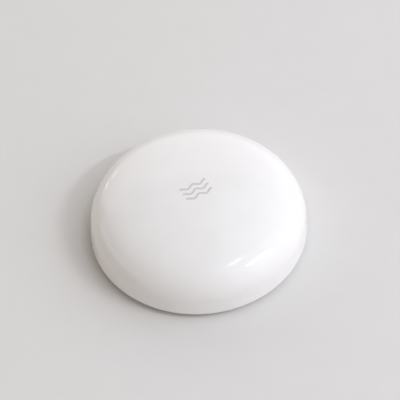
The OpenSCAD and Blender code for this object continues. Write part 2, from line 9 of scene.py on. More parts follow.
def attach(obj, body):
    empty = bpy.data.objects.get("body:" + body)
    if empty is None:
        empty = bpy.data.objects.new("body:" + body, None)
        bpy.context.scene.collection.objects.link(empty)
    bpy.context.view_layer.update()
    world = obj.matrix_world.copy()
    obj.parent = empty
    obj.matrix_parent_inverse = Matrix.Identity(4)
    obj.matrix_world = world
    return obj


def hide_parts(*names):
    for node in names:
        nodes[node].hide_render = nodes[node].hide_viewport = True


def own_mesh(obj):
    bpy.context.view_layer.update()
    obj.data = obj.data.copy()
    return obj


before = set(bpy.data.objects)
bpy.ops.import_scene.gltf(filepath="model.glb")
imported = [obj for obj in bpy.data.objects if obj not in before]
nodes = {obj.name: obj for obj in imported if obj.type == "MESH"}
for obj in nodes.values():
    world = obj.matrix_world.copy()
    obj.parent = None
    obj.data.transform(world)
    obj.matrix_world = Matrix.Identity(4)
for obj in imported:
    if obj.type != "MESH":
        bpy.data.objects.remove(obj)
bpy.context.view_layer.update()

# Base
# A moulding in white ABS: plate, skirt, battery collar, two feet and a boss for each probe.
# Its outside has the fine sparked grain of the mould, and its skirt plugs into the dome.
MM = 0.001
base_pale = (0.80, 0.79, 0.775, 1.0)
base_deep = (0.755, 0.745, 0.73, 1.0)


def new_finish(name):
    """A new material, its node tree and the place on the piece that its patterns start from."""
    finish = bpy.data.materials.new(name)
    finish.use_nodes = True
    place = finish.node_tree.nodes.new("ShaderNodeTexCoord")
    return finish, finish.node_tree, place.outputs["Object"]


def noise(tree, place, size, detail, dimensions="3D"):
    """A noise with grains of a size in millimetres, over the whole piece or along one measure."""
    pattern = tree.nodes.new("ShaderNodeTexNoise")
    pattern.noise_dimensions = dimensions
    pattern.inputs["Scale"].default_value = 1 / (size * MM)
    pattern.inputs["Detail"].default_value = detail
    tree.links.new(place, pattern.inputs["W" if dimensions == "1D" else "Vector"])
    return pattern.outputs["Fac"]


def tint(tree, pattern, grain, pale, deep, margin, roughness, spread, height):
    """Mixes two tones by a pattern, and lets the same or a finer grain vary the sheen and raise a relief."""
    shader = tree.nodes["Principled BSDF"]
    tones = tree.nodes.new("ShaderNodeValToRGB")
    tones.color_ramp.elements[0].position = margin
    tones.color_ramp.elements[0].color = deep
    tones.color_ramp.elements[1].position = 1 - margin
    tones.color_ramp.elements[1].color = pale
    sheen = tree.nodes.new("ShaderNodeMapRange")
    sheen.inputs["To Min"].default_value = roughness * (1 - spread)
    sheen.inputs["To Max"].default_value = roughness * (1 + spread)
    relief = tree.nodes.new("ShaderNodeBump")
    relief.inputs["Distance"].default_value = height * MM
    link = tree.links.new
    link(pattern, tones.inputs["Fac"])
    link(tones.outputs["Color"], shader.inputs["Base Color"])
    link(grain, sheen.inputs["Value"])
    link(sheen.outputs["Result"], shader.inputs["Roughness"])
    link(grain, relief.inputs["Height"])
    link(relief.outputs["Normal"], shader.inputs["Normal"])
    return shader


def moulded_plastic(name, pale, deep, roughness, grain, grain_height):
    """Plastic from a mould: two close tones that drift over the piece, and the grain of the mould."""
    finish, tree, place = new_finish(name)
    drift = noise(tree, place, size=7, detail=3.0)
    pits = noise(tree, place, size=grain, detail=2.0)
    shader = tint(tree, drift, pits, pale, deep, margin=0.3,
                  roughness=roughness, spread=0.1, height=grain_height)
    shader.inputs["IOR"].default_value = 1.5
    return finish


def dress(node, finish):
    """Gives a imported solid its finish."""
    for place in nodes[node].material_slots:
        place.material = finish


base_abs = moulded_plastic("base_abs", base_pale, base_deep, roughness=0.42, grain=0.12, grain_height=0.006)
dress("base", base_abs)

# Probe seals
# Two small black nitrile rings, moulded and dusted with talc.
# Each lies in a counterbore of the base, under the head of a probe.
nitrile_pale = (0.028, 0.028, 0.029, 1.0)
nitrile_deep = (0.016, 0.016, 0.017, 1.0)
nitrile = moulded_plastic("black_nitrile", nitrile_pale, nitrile_deep,
                          roughness=0.62, grain=0.05, grain_height=0.003)
dress("probe_seals", nitrile)

# Probes
# Two studs turned from stainless bar: a flat head with a rolled edge, a threaded shank and a plain tip.
# The heads touch the floor, where water joins them. A nut inside the base pulls each one tight.
probe_ring = 19.1
probe_head_r = 2.2
probe_head_top = 0.8
probe_edge_r = 0.3
probe_dimple = 0.05
probe_shank_r = 1.0
probe_shank_top = 2.2
probe_root_r = 0.86
probe_crest_r = 0.99
probe_tip_r = 0.7
probe_top = 5.8
stainless_pale = (0.66, 0.65, 0.63, 1.0)
stainless_deep = (0.53, 0.52, 0.505, 1.0)
weld_gap = 0.001 * MM
smooth_angle = math.radians(28)


def arc_points(r, z, radius, start, end, steps):
    """Points of an arc round a middle, from one angle to another in degrees."""
    angles = [math.radians(start + (end - start) * i / steps) for i in range(steps + 1)]
    return [(r + radius * math.cos(a), z + radius * math.sin(a)) for a in angles]


def draw_path(name, points):
    """Draws a line through points: a plane shrunk to one point, which is extruded from place to place."""
    bpy.ops.mesh.primitive_plane_add(size=MM, location=(0, 0, 0))
    piece = bpy.context.object
    piece.name = name
    bpy.ops.object.mode_set(mode="EDIT")
    bpy.ops.mesh.select_all(action="SELECT")
    bpy.ops.mesh.merge(type="CENTER")
    here = Vector(points[0]) * MM
    bpy.ops.transform.translate(value=here)
    for point in points[1:]:
        there = Vector(point) * MM
        bpy.ops.mesh.extrude_region_move(TRANSFORM_OT_translate={"value": there - here})
        here = there
    return piece


def draw_loop(name, points):
    """Draws a closed line through points."""
    piece = draw_path(name, points + points[:1])
    bpy.ops.mesh.select_all(action="SELECT")
    bpy.ops.mesh.remove_doubles(threshold=weld_gap)
    return piece


def weld(piece):
    """Welds the points that fell together, turns the faces out and shades the curves smooth."""
    bpy.ops.mesh.select_all(action="SELECT")
    bpy.ops.mesh.remove_doubles(threshold=weld_gap)
    bpy.ops.mesh.normals_make_consistent(inside=False)
    bpy.ops.object.mode_set(mode="OBJECT")
    bpy.ops.object.shade_smooth_by_angle(angle=smooth_angle)
    return piece


def spin_piece(name, points, steps):
    """A turned or round moulded piece: its half section spun right round the middle axis."""
    piece = draw_path(name, [(r, 0, z) for r, z in points])
    bpy.ops.mesh.select_all(action="SELECT")
    bpy.ops.mesh.spin(steps=steps, angle=math.tau, center=(0, 0, 0), axis=(0, 0, 1))
    return weld(piece)


def pick(piece):
    """Selects one piece alone and makes it the active one."""
    bpy.ops.object.select_all(action="DESELECT")
    piece.select_set(True)
    bpy.context.view_layer.objects.active = piece


def edit(piece):
    """Opens one piece alone in edit mode, with all of it selected."""
    pick(piece)
    bpy.ops.object.mode_set(mode="EDIT")
    bpy.ops.mesh.select_all(action="SELECT")


def shift(piece, x, y, z):
    """Moves a piece's mesh, so that its object stays at the origin."""
    edit(piece)
    bpy.ops.transform.translate(value=Vector((x, y, z)) * MM)
    bpy.ops.object.mode_set(mode="OBJECT")
    return piece


def twin(piece, name):
    """A copy with a mesh of its own."""
    pick(piece)
    bpy.ops.object.duplicate(linked=False)
    bpy.context.object.name = name
    return bpy.context.object


def join(piece, *others):
    """Makes several meshes one piece."""
    pick(piece)
    for other in others:
        other.select_set(True)
    bpy.ops.object.join()
    return piece


def coat(piece, finish):
    """Gives a piece a finish, in place of any other."""
    piece.data.materials.clear()
    piece.data.materials.append(finish)


def wind(name, points, pitch, turns, steps):
    """Winds a closed half section up round the middle axis, as a thread or a coil, and caps its ends."""
    piece = draw_loop(name, [(r, 0, z) for r, z in points])
    bpy.ops.object.mode_set(mode="OBJECT")
    helix = piece.modifiers.new("helix", "SCREW")
    helix.axis = "Z"
    helix.angle = math.tau * turns
    helix.screw_offset = pitch * turns * MM
    helix.steps = steps
    helix.render_steps = steps
    helix.use_merge_vertices = False
    bpy.ops.object.modifier_apply(modifier="helix")
    edit(piece)
    bpy.ops.mesh.fill_holes(sides=0)
    return weld(piece)


def turned_metal(name, pale, deep, roughness, ring_width, ring_height, off_axis):
    """Metal from the lathe: fine rings round its own axis, which lies beside the middle, to either side."""
    finish, tree, place = new_finish(name)
    split = tree.nodes.new("ShaderNodeSeparateXYZ")
    side = tree.nodes.new("ShaderNodeMath")
    side.operation = "ABSOLUTE"
    across = tree.nodes.new("ShaderNodeMath")
    across.operation = "SUBTRACT"
    across.inputs[1].default_value = off_axis * MM
    flat = tree.nodes.new("ShaderNodeCombineXYZ")
    radius = tree.nodes.new("ShaderNodeVectorMath")
    radius.operation = "LENGTH"
    link = tree.links.new
    link(place, split.inputs["Vector"])
    link(split.outputs["X"], side.inputs[0])
    link(side.outputs["Value"], across.inputs[0])
    link(across.outputs["Value"], flat.inputs["X"])
    link(split.outputs["Y"], flat.inputs["Y"])
    link(flat.outputs["Vector"], radius.inputs[0])
    rings = noise(tree, radius.outputs["Value"], size=ring_width, detail=4.0, dimensions="1D")
    shader = tint(tree, rings, rings, pale, deep, margin=0.35,
                  roughness=roughness, spread=0.25, height=ring_height)
    shader.inputs["Metallic"].default_value = 1.0
    return finish


probe_section = [(0, probe_dimple), (0.3, probe_dimple), (0.42, 0), (1.4, 0)]
probe_section += arc_points(probe_head_r - probe_edge_r, probe_edge_r, probe_edge_r, -90, 0, 10)
probe_section += [(probe_head_r, probe_head_top - 0.1), (probe_head_r - 0.1, probe_head_top)]
probe_section += [(probe_shank_r, probe_head_top), (probe_shank_r, probe_shank_top)]
probe_section += [(probe_root_r, probe_shank_top + 0.14), (probe_root_r, probe_top - 0.6)]
probe_section += [(probe_root_r, probe_top - 0.15), (probe_tip_r, probe_top), (0, probe_top)]
stud_ridge = [(probe_root_r - 0.05, 2.3), (probe_crest_r, 2.45), (probe_root_r - 0.05, 2.6)]
stainless = turned_metal("turned_stainless", stainless_pale, stainless_deep, roughness=0.24,
                         ring_width=0.09, ring_height=0.004, off_axis=probe_ring)
left_stud = spin_piece("left_stud", probe_section, 64)
join(left_stud, wind("stud_thread", stud_ridge, pitch=0.4, turns=6.5, steps=208))
shift(left_stud, -probe_ring, 0, 0)
coat(left_stud, stainless)
right_stud = shift(twin(left_stud, "right_stud"), 2 * probe_ring, 0, 0)
for stud, node in ((left_stud, "left_probe"), (right_stud, "right_probe")):
    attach(stud, "housing")
    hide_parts(node)

# Probe nuts
# Two hexagon nuts milled from brass bar, with chamfered corners and countersunk holes.
# They sit in hexagon pockets of the base's bosses and hold the studs from inside.
nut_flats = 4.0
nut_low = 3.8
nut_high = 5.2
nut_face_r = 1.94
nut_corner_r = 2.35
nut_chamfer = 0.2
nut_bore_r = 1.03
nut_sink_r = 1.3
brass_pale = (0.68, 0.50, 0.22, 1.0)
brass_deep = (0.55, 0.39, 0.16, 1.0)
sliver = 0.003 * MM


def cut(piece, tool, way):
    """Cuts a piece with a tool, or keeps what they share, and takes the tool away."""
    pick(piece)
    change = piece.modifiers.new("cut", "BOOLEAN")
    change.operation = way
    change.solver = "EXACT"
    change.object = tool
    bpy.ops.object.modifier_apply(modifier="cut")
    bpy.data.objects.remove(tool)
    edit(piece)
    bpy.ops.mesh.dissolve_degenerate(threshold=sliver)
    return weld(piece)


def drawn_metal(name, pale, deep, roughness, streak):
    """Metal that was rolled or drawn: soft streaks along it and a slightly uneven sheen."""
    finish, tree, place = new_finish(name)
    along = tree.nodes.new("ShaderNodeMapping")
    along.inputs["Scale"].default_value = (0.08, 1.0, 1.0)
    tree.links.new(place, along.inputs["Vector"])
    streaks = noise(tree, along.outputs["Vector"], size=streak, detail=4.0)
    shader = tint(tree, streaks, streaks, pale, deep, margin=0.3,
                  roughness=roughness, spread=0.25, height=0.002)
    shader.inputs["Metallic"].default_value = 1.0
    return finish


brass = drawn_metal("milled_brass", brass_pale, brass_deep, roughness=0.27, streak=0.2)
bpy.ops.mesh.primitive_cylinder_add(
    vertices=6, radius=nut_flats / 2 / math.cos(math.radians(30)) * MM, depth=(nut_high - nut_low) * MM,
    location=(0, 0, (nut_low + nut_high) / 2 * MM), rotation=(0, 0, math.radians(30)))
left_nut = bpy.context.object
left_nut.name = "left_probe_nut"
bpy.ops.object.transform_apply(location=True, rotation=True, scale=True)
blank_section = [(0, nut_low), (nut_face_r, nut_low), (nut_corner_r, nut_low + nut_chamfer)]
blank_section += [(nut_corner_r, nut_high - nut_chamfer), (nut_face_r, nut_high), (0, nut_high)]
cut(left_nut, spin_piece("nut_blank", blank_section, 96), "INTERSECT")
drill_section = [(0, nut_low - 0.1), (nut_sink_r, nut_low - 0.1), (nut_bore_r, nut_low + 0.17)]
drill_section += [(nut_bore_r, nut_high - 0.17), (nut_sink_r, nut_high + 0.1), (0, nut_high + 0.1)]
cut(left_nut, spin_piece("nut_drill", drill_section, 48), "DIFFERENCE")
shift(left_nut, -probe_ring, 0, 0)
coat(left_nut, brass)
right_nut = shift(twin(left_nut, "right_probe_nut"), 2 * probe_ring, 0, 0)
for nut in (left_nut, right_nut):
    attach(nut, "housing")
    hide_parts("probe_nuts")

# Probe springs
# Two short coils of hard-drawn steel wire.
# Each stands on a nut round the tip of a stud and presses on a pad under the board.
spring_wire_r = 0.15
spring_coil_r = 1.25
spring_low = 5.38
spring_high = 7.62
spring_turns = 2.5
wire_pale = (0.60, 0.60, 0.60, 1.0)
wire_deep = (0.46, 0.46, 0.47, 1.0)
spring_wire = drawn_metal("spring_wire", wire_pale, wire_deep, roughness=0.3, streak=0.15)
wire_round = arc_points(spring_coil_r, spring_low, spring_wire_r, 0, 337.5, 15)
spring_pitch = (spring_high - spring_low) / spring_turns
left_coil = wind("left_coil", wire_round, spring_pitch, spring_turns, steps=120)
shift(left_coil, -probe_ring, 0, 0)
coat(left_coil, spring_wire)
right_coil = shift(twin(left_coil, "right_coil"), 2 * probe_ring, 0, 0)
for coil, node in ((left_coil, "left_probe_spring"), (right_coil, "right_probe_spring")):
    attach(coil, "housing")
    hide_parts(node)

# Housing seal
# A grey silicone ring of round section.
# It lies in a groove round the base's skirt and is squeezed against the dome's seat.
silicone_pale = (0.17, 0.17, 0.175, 1.0)
silicone_deep = (0.125, 0.125, 0.13, 1.0)
silicone = moulded_plastic("grey_silicone", silicone_pale, silicone_deep,
                           roughness=0.5, grain=0.06, grain_height=0.003)
dress("housing_seal", silicone)

# Board
# A round glass-fibre board under green solder mask, drilled for three screws and the holder's two pegs.
# Three screws hold it up against the dome's bosses.
board_low = 7.8
board_high = 8.8
mask_pale = (0.026, 0.128, 0.052, 1.0)
mask_deep = (0.019, 0.098, 0.040, 1.0)
mask_green = moulded_plastic("mask_green", mask_pale, mask_deep, roughness=0.3, grain=0.4, grain_height=0.004)
mask_green.node_tree.nodes["Principled BSDF"].inputs["Coat Weight"].default_value = 0.4
dress("main_board", mask_green)

# Board tracks
# Copper etched on the board's upper face, under the mask, so that it shows as a lighter green.
# A ground line follows the edge, and short lines join the chip to what stands round it.
track_height = 0.04
ground_r = 19.9
part_pitch = 1.2
first_part_x = -11.04
covered_pale = (0.052, 0.215, 0.088, 1.0)
covered_deep = (0.040, 0.175, 0.070, 1.0)
# Each track is the corners of its line and its width.
track_lines = [
    (arc_points(0, 0, ground_r, 140, 400, 65), 0.5),
    ([(-5.2, -1.2), (-5.2, 13.2), (-4.5, 13.9), (-4.5, 14.7)], 0.5),
    ([(-8.6, -1.3), (-8.6, 1.5)], 0.3),
    ([(-7.4, -1.3), (-7.4, 1.5)], 0.3),
    ([(-4.9, -2.4), (-4.3, -2.4), (-3.9, -2.0), (-3.5, -2.0)], 0.3),
    ([(-4.9, -3.2), (1.2, -3.2), (2.4, -2.0), (3.5, -2.0)], 0.3),
    ([(-4.9, -4.0), (2.6, -4.0), (3.9, -2.7), (3.9, -0.3)], 0.3),
    ([(-4.9, -4.8), (4.2, -4.8), (5.1, -3.9), (5.1, -0.3)], 0.3),
    ([(-11.2, -3.2), (-14.0, -3.2), (-17.4, 0.2), (-19.1, 0.2)], 0.4),
    ([(-11.2, -5.6), (-13.4, -5.6), (-16.4, -8.6)], 0.4),
    ([(-4.9, -6.4), (2.0, -6.4), (6.6, -11.0), (14.0, -11.0), (19.1, -5.9), (19.1, 0.2)], 0.4),
]
for i in range(6):
    part_x = first_part_x + part_pitch * i
    track_lines.append(([(part_x, -7.3), (part_x, -8.1)], 0.3))


def lay_track(name, line, width, low, height):
    """A flat strip along a line: the line, drawn up to a thin wall that Solidify gives its width."""
    piece = draw_path(name, [(x, y, low) for x, y in line])
    bpy.ops.mesh.select_all(action="SELECT")
    bpy.ops.mesh.extrude_region_move(TRANSFORM_OT_translate={"value": (0, 0, height * MM)})
    bpy.ops.object.mode_set(mode="OBJECT")
    strip = piece.modifiers.new("strip", "SOLIDIFY")
    strip.thickness = width * MM
    strip.offset = 0.0
    strip.use_even_offset = True
    bpy.ops.object.modifier_apply(modifier="strip")
    edit(piece)
    return weld(piece)


tracks = [lay_track("track", line, width, board_high, track_height) for line, width in track_lines]
board_tracks = join(*tracks)
board_tracks.name = "board_tracks"
mask_over_copper = moulded_plastic("mask_over_copper", covered_pale, covered_deep,
                                   roughness=0.28, grain=0.3, grain_height=0.002)
coat(board_tracks, mask_over_copper)
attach(board_tracks, "housing")

# Board pads
# Bare copper pads with a thin gold finish, where the mask is left open.
# Two discs under the board take the probe springs, and a ring lies round each screw hole.
pad_low = board_low - 0.02
spring_pad_r = 1.5
land_r = 2.5
land_hole_r = 1.06
screw_ring = 14.7
screw_places = arc_points(0, 0, screw_ring, 30, 270, 2)
gold_pale = (0.83, 0.60, 0.26, 1.0)
gold_deep = (0.72, 0.50, 0.20, 1.0)
gold_finish = drawn_metal("gold_finish", gold_pale, gold_deep, roughness=0.25, streak=0.3)
pad_section = [(0, pad_low), (spring_pad_r - 0.04, pad_low), (spring_pad_r, board_low), (0, board_low)]
spring_pad = spin_piece("spring_pad", pad_section, 48)
pads = [shift(spring_pad, -probe_ring, 0, 0)]
pads.append(shift(twin(spring_pad, "spring_pad_right"), 2 * probe_ring, 0, 0))
land_section = [(land_hole_r, board_low), (land_r, board_low), (land_r - 0.04, pad_low)]
land_section += [(land_hole_r, pad_low), (land_hole_r, board_low)]
for x, y in screw_places:
    pads.append(shift(spin_piece("screw_land", land_section, 48), x, y, 0))
board_pads = join(*pads)
board_pads.name = "board_pads"
coat(board_pads, gold_finish)
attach(board_pads, "housing")

# Antenna
# A meander etched in the board's copper along its free edge, left bare and gold finished.
dress("antenna_trace", gold_finish)

# Radio chip
# A square package moulded in black epoxy, with a dot at its first pin.
# Tinned pads along its four sides are soldered to the board.
chip_w = 6.0
chip_h = 0.85
chip_x = -8.04
chip_y = -4.4
chip_top = board_high + chip_h
chip_pads = 7
chip_pad_pitch = 0.75
dot_inset = 0.8
epoxy_pale = (0.030, 0.030, 0.031, 1.0)
epoxy_deep = (0.022, 0.022, 0.023, 1.0)
tin_pale = (0.68, 0.68, 0.67, 1.0)
tin_deep = (0.56, 0.56, 0.56, 1.0)


def block(name, x, y, low, length, width, height):
    """A box at its size and place, with its place in its mesh."""
    bpy.ops.mesh.primitive_cube_add(size=1, location=Vector((x, y, low + height / 2)) * MM,
                                    scale=Vector((length, width, height)) * MM)
    bpy.context.object.name = name
    bpy.ops.object.transform_apply(location=True, rotation=True, scale=True)
    return bpy.context.object


def pick_edges(piece, test):
    """Selects in edit mode the edges that a test chooses by their two ends, in millimetres."""
    edit(piece)
    bpy.ops.mesh.select_mode(type="EDGE")
    bpy.ops.mesh.select_all(action="DESELECT")
    bpy.ops.object.mode_set(mode="OBJECT")
    for edge in piece.data.edges:
        edge.select = test(*[piece.data.vertices[i].co / MM for i in edge.vertices])
    bpy.ops.object.mode_set(mode="EDIT")


def soften(piece, size, segments, test=lambda a, b: True):
    """Bevels the edges that a test chooses, or all of them."""
    pick_edges(piece, test)
    bpy.ops.mesh.bevel(offset=size * MM, segments=segments, affect="EDGES", clamp_overlap=True)
    bpy.ops.mesh.select_mode(type="VERT")
    bpy.ops.object.mode_set(mode="OBJECT")
    bpy.ops.object.shade_smooth_by_angle(angle=smooth_angle)
    return piece


def repeat(piece, count, step):
    """A straight row of copies, made by an Array modifier."""
    row = piece.modifiers.new("row", "ARRAY")
    row.count = count
    row.use_relative_offset = False
    row.use_constant_offset = True
    row.constant_offset_displace = Vector(step) * MM
    pick(piece)
    bpy.ops.object.modifier_apply(modifier="row")
    return piece


def turn(piece, degrees, x, y):
    """Turns a piece's mesh about an upright axis."""
    edit(piece)
    middle = Vector((x, y, 0)) * MM
    bpy.ops.transform.rotate(value=-math.radians(degrees), orient_axis="Z", center_override=middle)
    bpy.ops.object.mode_set(mode="OBJECT")
    return piece


epoxy = moulded_plastic("chip_epoxy", epoxy_pale, epoxy_deep, roughness=0.5, grain=0.06, grain_height=0.004)
tin = drawn_metal("tin_plate", tin_pale, tin_deep, roughness=0.34, streak=0.12)
chip_package = block("chip_package", chip_x, chip_y, board_high, chip_w, chip_w, chip_h)
soften(chip_package, size=0.09, segments=2)
dot_section = [(0, chip_top - 0.06), (0.32, chip_top - 0.06), (0.4, chip_top + 0.1), (0, chip_top + 0.1)]
dot_drill = spin_piece("dot_drill", dot_section, 32)
shift(dot_drill, chip_x - chip_w / 2 + dot_inset, chip_y + chip_w / 2 - dot_inset, 0)
cut(chip_package, dot_drill, "DIFFERENCE")
coat(chip_package, epoxy)
first_pad_x = chip_x - (chip_pads - 1) / 2 * chip_pad_pitch
pad_row = block("pad_row", first_pad_x, chip_y - chip_w / 2, board_high, length=0.32, width=0.3, height=0.2)
soften(pad_row, size=0.04, segments=2)
repeat(pad_row, chip_pads, (chip_pad_pitch, 0, 0))
coat(pad_row, tin)
pad_rows = [pad_row] + [turn(twin(pad_row, "pad_row_turned"), 90 * k, chip_x, chip_y) for k in (1, 2, 3)]
join(chip_package, *pad_rows)
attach(chip_package, "housing")
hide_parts("radio_chip")

# Crystal
# A flat ceramic tray with a metal lid seam-welded on its rim.
# It is soldered beside the chip and keeps its time.
crystal_l = 3.2
crystal_w = 2.5
crystal_y = 2.65
tray_h = 0.45
lid_inset = 0.18
lid_h = 0.35
lid_edge = 0.12
lid_low = board_high + tray_h
tray_pale = (0.145, 0.118, 0.092, 1.0)
tray_deep = (0.115, 0.092, 0.072, 1.0)
lid_pale = (0.70, 0.69, 0.66, 1.0)
lid_deep = (0.60, 0.59, 0.56, 1.0)
ceramic_tray = moulded_plastic("ceramic_tray", tray_pale, tray_deep,
                               roughness=0.45, grain=0.08, grain_height=0.003)
lid_plate = drawn_metal("lid_plate", lid_pale, lid_deep, roughness=0.22, streak=0.2)
crystal_can = block("crystal_can", chip_x, crystal_y, board_high, crystal_l, crystal_w, tray_h)
soften(crystal_can, lid_edge, 3, lambda a, b: abs(a.z - b.z) > 0.1)
coat(crystal_can, ceramic_tray)
lid = block("lid", chip_x, crystal_y, lid_low, crystal_l - 2 * lid_inset, crystal_w - 2 * lid_inset, lid_h)
soften(lid, lid_edge, 3, lambda a, b: a.z + b.z > 2 * lid_low + 0.01)
coat(lid, lid_plate)
join(crystal_can, lid)
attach(crystal_can, "housing")
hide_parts("crystal")

# Small parts
# Six ceramic capacitors and six film resistors in two rows, each with tinned caps at both ends.
# They are soldered beside the chip.
part_l = 1.0
part_w = 0.5
part_edge = 0.03
cap_band = 0.24
part_rows = [("capacitor", -8.4, (0.36, 0.245, 0.155, 1.0), (0.30, 0.20, 0.12, 1.0), 0.5),
             ("resistor", -10.0, (0.035, 0.035, 0.037, 1.0), (0.025, 0.025, 0.027, 1.0), 0.36)]
rows = []
for part_name, row_y, pale, deep, part_h in part_rows:
    row = block(part_name, first_part_x, row_y, board_high,
                part_w - part_edge, part_l - 2 * cap_band, part_h - part_edge)
    soften(row, size=part_edge, segments=2)
    body = moulded_plastic(part_name + "_body", pale, deep, roughness=0.38, grain=0.05, grain_height=0.002)
    coat(row, body)
    for way in (-1, 1):
        cap_y = row_y + way * (part_l - cap_band) / 2
        end_cap = block("end_cap", first_part_x, cap_y, board_high, part_w, cap_band, part_h)
        soften(end_cap, size=0.05, segments=3)
        coat(end_cap, tin)
        join(row, end_cap)
    rows.append(repeat(row, 6, (part_pitch, 0, 0)))
small_parts = join(*rows)
small_parts.name = "small_parts"
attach(small_parts, "housing")
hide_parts("chip_parts")

# Indicator lamp
# A white reflector cup filled with clear resin, on a base with two tinned ends.
# Its light shows through the thin middle of the dome.
lamp_l = 1.6
lamp_w = 0.8
lamp_h = 0.7
lamp_x = 4.44
lamp_end_l = 0.28
cup_l = lamp_l - 0.5
cup_wall = 0.1
cup_depth = 0.1
cup_taper = (0.86, 0.86, 1.0)
lens_inset = 0.12
lens_h = 0.12
lens_low = board_high + lamp_h - 0.02 - lens_h
cup_pale = (0.78, 0.77, 0.73, 1.0)
cup_deep = (0.73, 0.72, 0.68, 1.0)
resin_pale = (0.86, 0.80, 0.52, 1.0)
resin_deep = (0.83, 0.76, 0.46, 1.0)
lamp_white = moulded_plastic("lamp_white", cup_pale, cup_deep, roughness=0.4, grain=0.08, grain_height=0.002)
lamp_resin = moulded_plastic("lamp_resin", resin_pale, resin_deep,
                             roughness=0.12, grain=0.3, grain_height=0.001)
lamp_resin.node_tree.nodes["Principled BSDF"].inputs["Transmission Weight"].default_value = 0.35


def pick_faces(piece, test):
    """Selects in edit mode the faces that a test chooses by their middle, in millimetres, and normal."""
    edit(piece)
    bpy.ops.mesh.select_mode(type="FACE")
    bpy.ops.mesh.select_all(action="DESELECT")
    bpy.ops.object.mode_set(mode="OBJECT")
    for face in piece.data.polygons:
        face.select = test(face.center / MM, face.normal)
    bpy.ops.object.mode_set(mode="EDIT")


lamp_cup = block("lamp_cup", lamp_x, 0, board_high, cup_l, lamp_w, lamp_h)
pick_faces(lamp_cup, lambda middle, normal: normal.z > 0.9)
bpy.ops.mesh.inset(thickness=cup_wall * MM)
bpy.ops.mesh.extrude_region_move(TRANSFORM_OT_translate={"value": (0, 0, -cup_depth * MM)})
bpy.ops.transform.resize(value=cup_taper)
bpy.ops.mesh.select_mode(type="VERT")
bpy.ops.object.mode_set(mode="OBJECT")
coat(lamp_cup, lamp_white)
lens = block("lens", lamp_x, 0, lens_low, cup_l - 2 * lens_inset, lamp_w - 2 * lens_inset, lens_h)
soften(lens, size=0.05, segments=3)
coat(lens, lamp_resin)
join(lamp_cup, lens)
for way in (-1, 1):
    end_x = lamp_x + way * (lamp_l - lamp_end_l) / 2
    lamp_end = block("lamp_end", end_x, 0, board_high, lamp_end_l, lamp_w, height=0.3)
    soften(lamp_end, size=0.05, segments=2)
    coat(lamp_end, tin)
    join(lamp_cup, lamp_end)
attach(lamp_cup, "housing")
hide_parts("indicator_led")

# Switch body and terminals
# A tray moulded in black nylon, with a round well for the snap dome.
# It stands on four tinned feet that are soldered to the board.
nylon_pale = (0.026, 0.026, 0.027, 1.0)
nylon_deep = (0.018, 0.018, 0.019, 1.0)
black_nylon = moulded_plastic("black_nylon", nylon_pale, nylon_deep,
                              roughness=0.46, grain=0.07, grain_height=0.004)
dress("switch_body", black_nylon)
dress("switch_terminals", tin)

# Snap dome
# A shallow cap stamped from spring steel, which lies loose in the switch's well.
# It flattens under the plunger, bridges the contacts and springs back.
snap_low = 9.1
snap_high = 9.54
snap_foot_r = 1.9
snap_t = 0.08
snap_rise = snap_high - snap_low
snap_ball = (snap_foot_r ** 2 + snap_rise ** 2) / (2 * snap_rise)
snap_middle = snap_high - snap_ball
outer_edge = math.degrees(math.asin((snap_low - snap_middle) / snap_ball))
inner_edge = math.degrees(math.asin((snap_low - snap_middle) / (snap_ball - snap_t)))
snap_section = arc_points(0, snap_middle, snap_ball, 90, outer_edge, 14)
snap_section += arc_points(0, snap_middle, snap_ball - snap_t, inner_edge, 90, 14)
snap_pale = (0.72, 0.71, 0.69, 1.0)
snap_deep = (0.62, 0.61, 0.59, 1.0)
snap_steel = turned_metal("snap_steel", snap_pale, snap_deep, roughness=0.2,
                          ring_width=0.12, ring_height=0.002, off_axis=0.0)
snap_dome = spin_piece("snap_dome", snap_section, 64)
coat(snap_dome, snap_steel)
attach(snap_dome, "housing")
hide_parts("switch_dome")
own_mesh(snap_dome)

# Switch plunger
# A small round pin in ivory nylon, with a foot that keeps it under the switch's plate.
# The stem under the crown pushes it down a quarter of a millimetre.
plunger_r = 1.2
plunger_foot_r = 1.8
plunger_foot_low = 9.57
plunger_foot_high = 9.97
plunger_top = 11.2
plunger_edge_r = 0.16
ivory_pale = (0.72, 0.68, 0.57, 1.0)
ivory_deep = (0.66, 0.62, 0.51, 1.0)
plunger_section = [(0, plunger_foot_low), (plunger_foot_r - 0.08, plunger_foot_low)]
plunger_section += [(plunger_foot_r, plunger_foot_low + 0.08), (plunger_foot_r, plunger_foot_high - 0.06)]
plunger_section += [(plunger_foot_r - 0.06, plunger_foot_high), (plunger_r, plunger_foot_high)]
plunger_section += arc_points(plunger_r - plunger_edge_r, plunger_top - plunger_edge_r,
                              plunger_edge_r, 0, 90, 8)
plunger_section += [(0.3, plunger_top), (0.22, plunger_top - 0.04), (0, plunger_top - 0.04)]
ivory_nylon = moulded_plastic("ivory_nylon", ivory_pale, ivory_deep,
                              roughness=0.36, grain=0.09, grain_height=0.002)
plunger_pin = spin_piece("plunger_pin", plunger_section, 64)
coat(plunger_pin, ivory_nylon)
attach(plunger_pin, "plunger")
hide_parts("switch_plunger")

